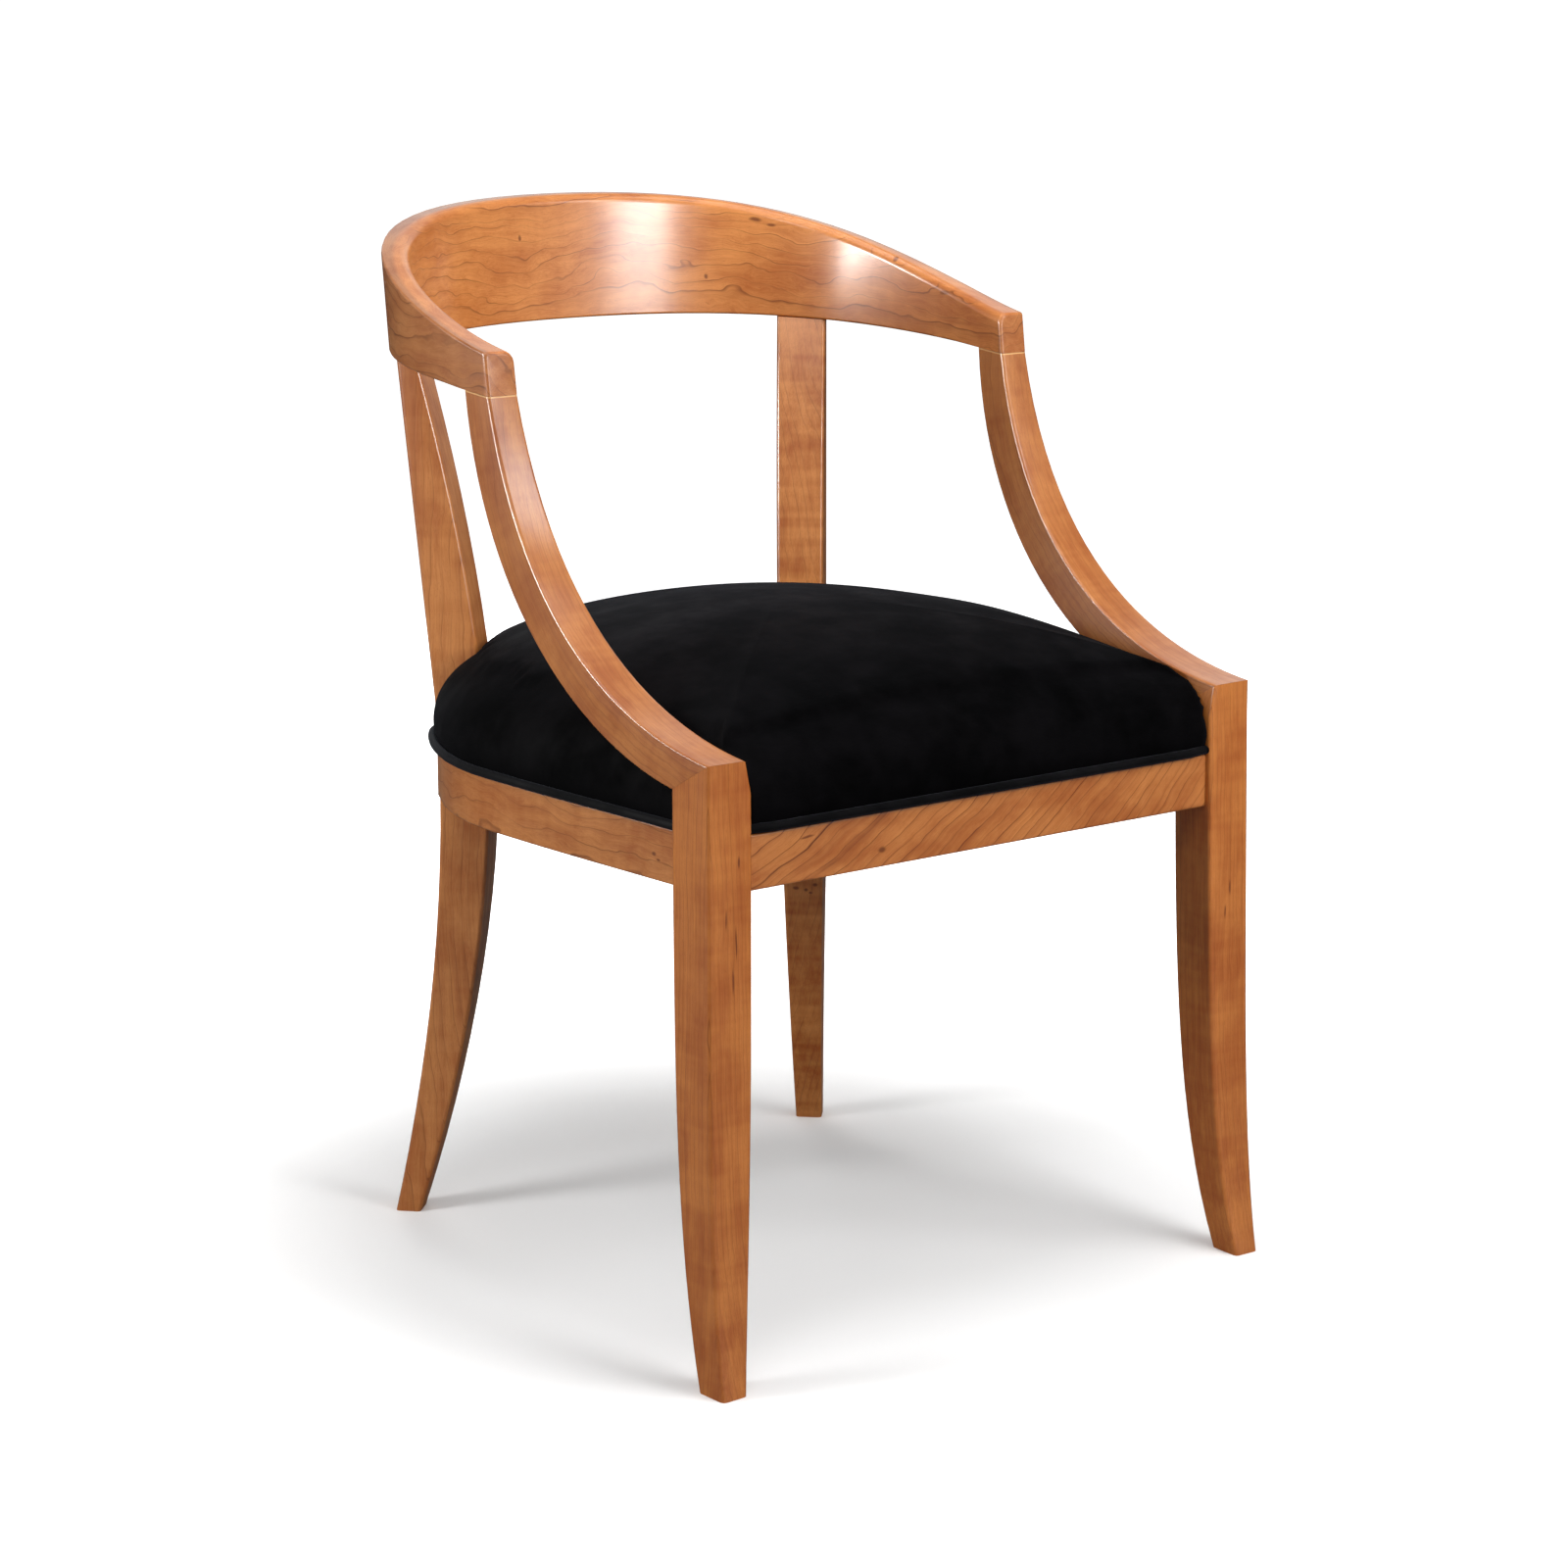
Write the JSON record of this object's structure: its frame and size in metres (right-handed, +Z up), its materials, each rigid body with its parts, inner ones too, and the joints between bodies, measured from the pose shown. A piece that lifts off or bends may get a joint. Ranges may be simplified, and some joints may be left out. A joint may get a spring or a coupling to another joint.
{
  "type": "klismos armchair",
  "caption": "Low-backed klismos armchair with a bent tub crest rail, swooping arm supports, sabre legs and a crowned, piped velvet seat.",
  "frame": {"origin": "centre of the overall box in plan, at the floor", "axes": "+X to the right as seen from in front, -Y towards the front, +Z up"},
  "size_m": [0.5334, 0.5874, 0.8072],
  "materials": {
    "cherry": "satin clear coat",
    "inner_wood": "bare",
    "velvet": "short pile",
    "foam": "matte",
    "lining": "matte weave",
    "screw_steel": "zinc plated"
  },
  "bodies": {
    "root": {"arm_support_left": "cherry", "arm_support_right": "cherry", "back_rail": "cherry", "block_screw_front_1_left": "screw_steel", "block_screw_front_1_right": "screw_steel", "block_screw_front_2_left": "screw_steel", "block_screw_front_2_right": "screw_steel", "block_screw_rear_1_left": "screw_steel", "block_screw_rear_1_right": "screw_steel", "block_screw_rear_2_left": "screw_steel", "block_screw_rear_2_right": "screw_steel", "corner_block_front_left": "inner_wood", "corner_block_front_right": "inner_wood", "corner_block_rear_left": "inner_wood", "corner_block_rear_right": "inner_wood", "crest_dowel_left": "inner_wood", "crest_dowel_right": "inner_wood", "crest_rail": "cherry", "dust_cover": "lining", "front_leg_left": "cherry", "front_leg_right": "cherry", "front_rail": "cherry", "mitre_spline_left": "inner_wood", "mitre_spline_right": "inner_wood", "rear_leg_left": "cherry", "rear_leg_right": "cherry", "seat_board": "inner_wood", "seat_cover": "velvet", "seat_foam": "foam", "seat_screw_front_left": "screw_steel", "seat_screw_front_right": "screw_steel", "seat_screw_rear_left": "screw_steel", "seat_screw_rear_right": "screw_steel", "side_rail_left": "cherry", "side_rail_right": "cherry", "welt_back": "velvet", "welt_front": "velvet", "welt_left": "velvet", "welt_right": "velvet"}
  },
  "joints": []
}
